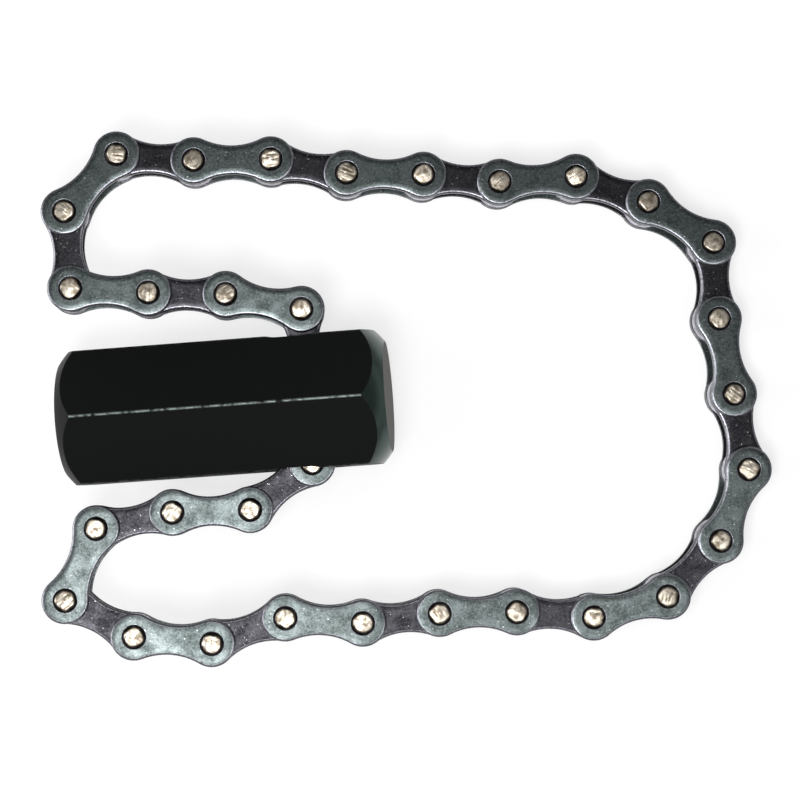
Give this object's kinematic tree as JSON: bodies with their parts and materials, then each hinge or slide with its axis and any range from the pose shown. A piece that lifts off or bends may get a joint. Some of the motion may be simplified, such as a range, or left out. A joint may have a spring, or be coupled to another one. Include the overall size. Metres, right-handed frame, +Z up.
{
  "type": "chain oil filter wrench",
  "caption": "Hexagonal drive bar with an endless roller chain threaded through its cross slot, for gripping and turning oil filter canisters.",
  "frame": {"origin": "centre of the square drive socket's mouth, on the bar's axis", "axes": "+X along the bar from its drive end to its chain end, +Z up while the wrench lies on the bar's lower corner, +Y across the bar along its slot"},
  "size_m": [0.1214, 0.0891, 0.0254],
  "materials": {
    "black_oxide_steel": "black oxide, worn edges",
    "blued_plate_steel": "blued and oiled",
    "inner_link_steel": "blued plates with bare rollers",
    "bright_pin_steel": "bare, hammered heads"
  },
  "bodies": {
    "drive_bar": {"drive_bar": "black_oxide_steel"},
    "link_01": {"outer_plates_01": "blued_plate_steel", "rivet_pins_01": "bright_pin_steel"},
    "link_02": {"inner_link_02": "inner_link_steel"},
    "link_03": {"outer_plates_03": "blued_plate_steel", "rivet_pins_03": "bright_pin_steel"},
    "link_04": {"inner_link_04": "inner_link_steel"},
    "link_05": {"outer_plates_05": "blued_plate_steel", "rivet_pins_05": "bright_pin_steel"},
    "link_06": {"inner_link_06": "inner_link_steel"},
    "link_07": {"outer_plates_07": "blued_plate_steel", "rivet_pins_07": "bright_pin_steel"},
    "link_08": {"inner_link_08": "inner_link_steel"},
    "link_09": {"outer_plates_09": "blued_plate_steel", "rivet_pins_09": "bright_pin_steel"},
    "link_10": {"inner_link_10": "inner_link_steel"},
    "link_11": {"outer_plates_11": "blued_plate_steel", "rivet_pins_11": "bright_pin_steel"},
    "link_12": {"inner_link_12": "inner_link_steel"},
    "link_13": {"outer_plates_13": "blued_plate_steel", "rivet_pins_13": "bright_pin_steel"},
    "link_14": {"inner_link_14": "inner_link_steel"},
    "link_15": {"outer_plates_15": "blued_plate_steel", "rivet_pins_15": "bright_pin_steel"},
    "link_16": {"inner_link_16": "inner_link_steel"},
    "link_17": {"outer_plates_17": "blued_plate_steel", "rivet_pins_17": "bright_pin_steel"},
    "link_18": {"inner_link_18": "inner_link_steel"},
    "link_19": {"outer_plates_19": "blued_plate_steel", "rivet_pins_19": "bright_pin_steel"},
    "link_20": {"inner_link_20": "inner_link_steel"},
    "link_21": {"outer_plates_21": "blued_plate_steel", "rivet_pins_21": "bright_pin_steel"},
    "link_22": {"inner_link_22": "inner_link_steel"},
    "link_23": {"outer_plates_23": "blued_plate_steel", "rivet_pins_23": "bright_pin_steel"},
    "link_24": {"inner_link_24": "inner_link_steel"},
    "link_25": {"outer_plates_25": "blued_plate_steel", "rivet_pins_25": "bright_pin_steel"},
    "link_26": {"inner_link_26": "inner_link_steel"},
    "link_27": {"outer_plates_27": "blued_plate_steel", "rivet_pins_27": "bright_pin_steel"},
    "link_28": {"inner_link_28": "inner_link_steel"},
    "link_29": {"outer_plates_29": "blued_plate_steel", "rivet_pins_29": "bright_pin_steel"},
    "link_30": {"inner_link_30": "inner_link_steel"},
    "link_31": {"outer_plates_31": "blued_plate_steel", "rivet_pins_31": "bright_pin_steel"},
    "link_32": {"inner_link_32": "inner_link_steel"}
  },
  "joints": [
    {"name": "bar_swivel", "type": "hinge", "parent": "drive_bar", "child": "link_31", "pos_m": [0.0405, 0, 0], "axis": [0, -1, 0], "continuous": true},
    {"name": "pivot_32", "type": "hinge", "parent": "link_31", "child": "link_32", "pos_m": [0.0405, 0.00255, 0], "axis": [0.1142, 0, 0.9935], "range_deg": [-3.62, 0]},
    {"name": "pivot_01", "type": "hinge", "parent": "link_32", "child": "link_01", "pos_m": [0.0405, 0.01525, 0], "axis": [0.1142, 0, 0.9935], "range_deg": [-53.09, 0]},
    {"name": "pivot_02", "type": "hinge", "parent": "link_01", "child": "link_02", "pos_m": [0.02831, 0.01854, 0.0014], "axis": [0.1142, 0, 0.9935], "range_deg": [-6.37, 0]},
    {"name": "pivot_03", "type": "hinge", "parent": "link_02", "child": "link_03", "pos_m": [0.01574, 0.01964, 0.00284], "axis": [0.1142, 0, 0.9935], "range_deg": [-5.88, 0]},
    {"name": "pivot_04", "type": "hinge", "parent": "link_03", "child": "link_04", "pos_m": [0.00322, 0.02119, 0.00428], "axis": [0.1142, 0, 0.9935], "range_deg": [0, 42.26]},
    {"name": "pivot_05", "type": "hinge", "parent": "link_04", "child": "link_05", "pos_m": [0.003, 0.03389, 0.00431], "axis": [0.1142, 0, 0.9935], "range_deg": [0, 24.57]},
    {"name": "pivot_06", "type": "hinge", "parent": "link_05", "child": "link_06", "pos_m": [0.01208, 0.04271, 0.00327], "axis": [0.1142, 0, 0.9935], "range_deg": [0, 31.32]},
    {"name": "pivot_07", "type": "hinge", "parent": "link_06", "child": "link_07", "pos_m": [0.02457, 0.04094, 0.00183], "axis": [0.1142, 0, 0.9935], "range_deg": [-21.04, 0]},
    {"name": "pivot_08", "type": "hinge", "parent": "link_07", "child": "link_08", "pos_m": [0.03717, 0.04028, 0.00038], "axis": [0.1142, 0, 0.9935], "range_deg": [-9.89, 0]},
    {"name": "pivot_09", "type": "hinge", "parent": "link_08", "child": "link_09", "pos_m": [0.04941, 0.03721, -0.00102], "axis": [0.1142, 0, 0.9935], "range_deg": [-27.06, 0]},
    {"name": "pivot_10", "type": "hinge", "parent": "link_09", "child": "link_10", "pos_m": [0.06198, 0.0361, -0.00247], "axis": [0.1142, 0, 0.9935], "range_deg": [-17.75, 0]},
    {"name": "pivot_11", "type": "hinge", "parent": "link_10", "child": "link_11", "pos_m": [0.07444, 0.03411, -0.0039], "axis": [0.1142, 0, 0.9935], "range_deg": [-29.46, 0]},
    {"name": "pivot_12", "type": "hinge", "parent": "link_11", "child": "link_12", "pos_m": [0.08706, 0.03411, -0.00535], "axis": [0.1142, 0, 0.9935], "range_deg": [0, 21.2]},
    {"name": "pivot_13", "type": "hinge", "parent": "link_12", "child": "link_13", "pos_m": [0.09867, 0.02915, -0.00668], "axis": [0.1142, 0, 0.9935], "range_deg": [0, 14.21]},
    {"name": "pivot_14", "type": "hinge", "parent": "link_13", "child": "link_14", "pos_m": [0.10888, 0.02169, -0.00786], "axis": [0.1142, 0, 0.9935], "range_deg": [0, 42.87]},
    {"name": "pivot_15", "type": "hinge", "parent": "link_14", "child": "link_15", "pos_m": [0.10888, 0.00899, -0.00786], "axis": [0.1142, 0, 0.9935], "range_deg": [-6.16, 0]},
    {"name": "pivot_31", "type": "hinge", "parent": "link_31", "child": "link_30", "pos_m": [0.0405, -0.01015, 0], "axis": [0.1142, 0, 0.9935], "range_deg": [0, 36.34]},
    {"name": "pivot_30", "type": "hinge", "parent": "link_30", "child": "link_29", "pos_m": [0.02992, -0.01707, 0.00122], "axis": [0.1142, 0, 0.9935], "range_deg": [0, 21.28]},
    {"name": "pivot_29", "type": "hinge", "parent": "link_29", "child": "link_28", "pos_m": [0.01731, -0.01663, 0.00266], "axis": [0.1142, 0, 0.9935], "range_deg": [0, 3.24]},
    {"name": "pivot_28", "type": "hinge", "parent": "link_28", "child": "link_27", "pos_m": [0.00482, -0.01839, 0.0041], "axis": [0.1142, 0, 0.9935], "range_deg": [-28.58, 0]},
    {"name": "pivot_27", "type": "hinge", "parent": "link_27", "child": "link_26", "pos_m": [-0.00091, -0.02971, 0.00476], "axis": [0.1142, 0, 0.9935], "range_deg": [-46.63, 0]},
    {"name": "pivot_26", "type": "hinge", "parent": "link_26", "child": "link_25", "pos_m": [0.00979, -0.03644, 0.00353], "axis": [0.1142, 0, 0.9935], "range_deg": [-3.91, 0]},
    {"name": "pivot_25", "type": "hinge", "parent": "link_25", "child": "link_24", "pos_m": [0.02225, -0.03843, 0.0021], "axis": [0.1142, 0, 0.9935], "range_deg": [-5.03, 0]},
    {"name": "pivot_24", "type": "hinge", "parent": "link_24", "child": "link_23", "pos_m": [0.03444, -0.03514, 0.0007], "axis": [0.1142, 0, 0.9935], "range_deg": [0, 28.33]},
    {"name": "pivot_23", "type": "hinge", "parent": "link_23", "child": "link_22", "pos_m": [0.04693, -0.03691, -0.00074], "axis": [0.1142, 0, 0.9935], "range_deg": [0, 4]},
    {"name": "pivot_22", "type": "hinge", "parent": "link_22", "child": "link_21", "pos_m": [0.05953, -0.03624, -0.00219], "axis": [0.1142, 0, 0.9935], "range_deg": [0, 20.46]},
    {"name": "pivot_21", "type": "hinge", "parent": "link_21", "child": "link_20", "pos_m": [0.07213, -0.03691, -0.00363], "axis": [0.1142, 0, 0.9935], "range_deg": [0, 30.92]},
    {"name": "pivot_20", "type": "hinge", "parent": "link_20", "child": "link_19", "pos_m": [0.08463, -0.03867, -0.00507], "axis": [0.1142, 0, 0.9935], "range_deg": [-3.25, 0]},
    {"name": "pivot_19", "type": "hinge", "parent": "link_19", "child": "link_18", "pos_m": [0.09699, -0.03614, -0.00649], "axis": [0.1142, 0, 0.9935], "range_deg": [-12.72, 0]},
    {"name": "pivot_18", "type": "hinge", "parent": "link_18", "child": "link_17", "pos_m": [0.10637, -0.02765, -0.00757], "axis": [0.1142, 0, 0.9935], "range_deg": [-23.35, 0]},
    {"name": "pivot_17", "type": "hinge", "parent": "link_17", "child": "link_16", "pos_m": [0.1119, -0.01623, -0.0082], "axis": [0.1142, 0, 0.9935], "range_deg": [-28.68, 0]}
  ],
  "couplings": [
    {"joint": "pivot_32", "follows": "pivot_01", "ratio": 0.067218},
    {"joint": "pivot_02", "follows": "pivot_01", "ratio": 0.11899},
    {"joint": "pivot_03", "follows": "pivot_01", "ratio": 0.10983},
    {"joint": "pivot_04", "follows": "pivot_01", "ratio": -0.79501},
    {"joint": "pivot_05", "follows": "pivot_01", "ratio": -0.46188},
    {"joint": "pivot_06", "follows": "pivot_01", "ratio": -0.58888},
    {"joint": "pivot_07", "follows": "pivot_01", "ratio": 0.39533},
    {"joint": "pivot_08", "follows": "pivot_01", "ratio": 0.18531},
    {"joint": "pivot_09", "follows": "pivot_01", "ratio": 0.50876},
    {"joint": "pivot_10", "follows": "pivot_01", "ratio": 0.33332},
    {"joint": "pivot_11", "follows": "pivot_01", "ratio": 0.55392},
    {"joint": "pivot_12", "follows": "pivot_01", "ratio": -0.39828},
    {"joint": "pivot_13", "follows": "pivot_01", "ratio": -0.26662},
    {"joint": "pivot_14", "follows": "pivot_01", "ratio": -0.80644},
    {"joint": "pivot_15", "follows": "pivot_01", "ratio": 0.11499},
    {"joint": "pivot_31", "follows": "pivot_01", "ratio": -0.68342},
    {"joint": "pivot_30", "follows": "pivot_01", "ratio": -0.39994},
    {"joint": "pivot_29", "follows": "pivot_01", "ratio": -0.060154},
    {"joint": "pivot_28", "follows": "pivot_01", "ratio": 0.53744},
    {"joint": "pivot_27", "follows": "pivot_01", "ratio": 0.87734},
    {"joint": "pivot_26", "follows": "pivot_01", "ratio": 0.07271},
    {"joint": "pivot_25", "follows": "pivot_01", "ratio": 0.093733},
    {"joint": "pivot_24", "follows": "pivot_01", "ratio": -0.53269},
    {"joint": "pivot_23", "follows": "pivot_01", "ratio": -0.074362},
    {"joint": "pivot_22", "follows": "pivot_01", "ratio": -0.38436},
    {"joint": "pivot_21", "follows": "pivot_01", "ratio": -0.58145},
    {"joint": "pivot_20", "follows": "pivot_01", "ratio": 0.060326},
    {"joint": "pivot_19", "follows": "pivot_01", "ratio": 0.23869},
    {"joint": "pivot_18", "follows": "pivot_01", "ratio": 0.43892},
    {"joint": "pivot_17", "follows": "pivot_01", "ratio": 0.53922}
  ]
}
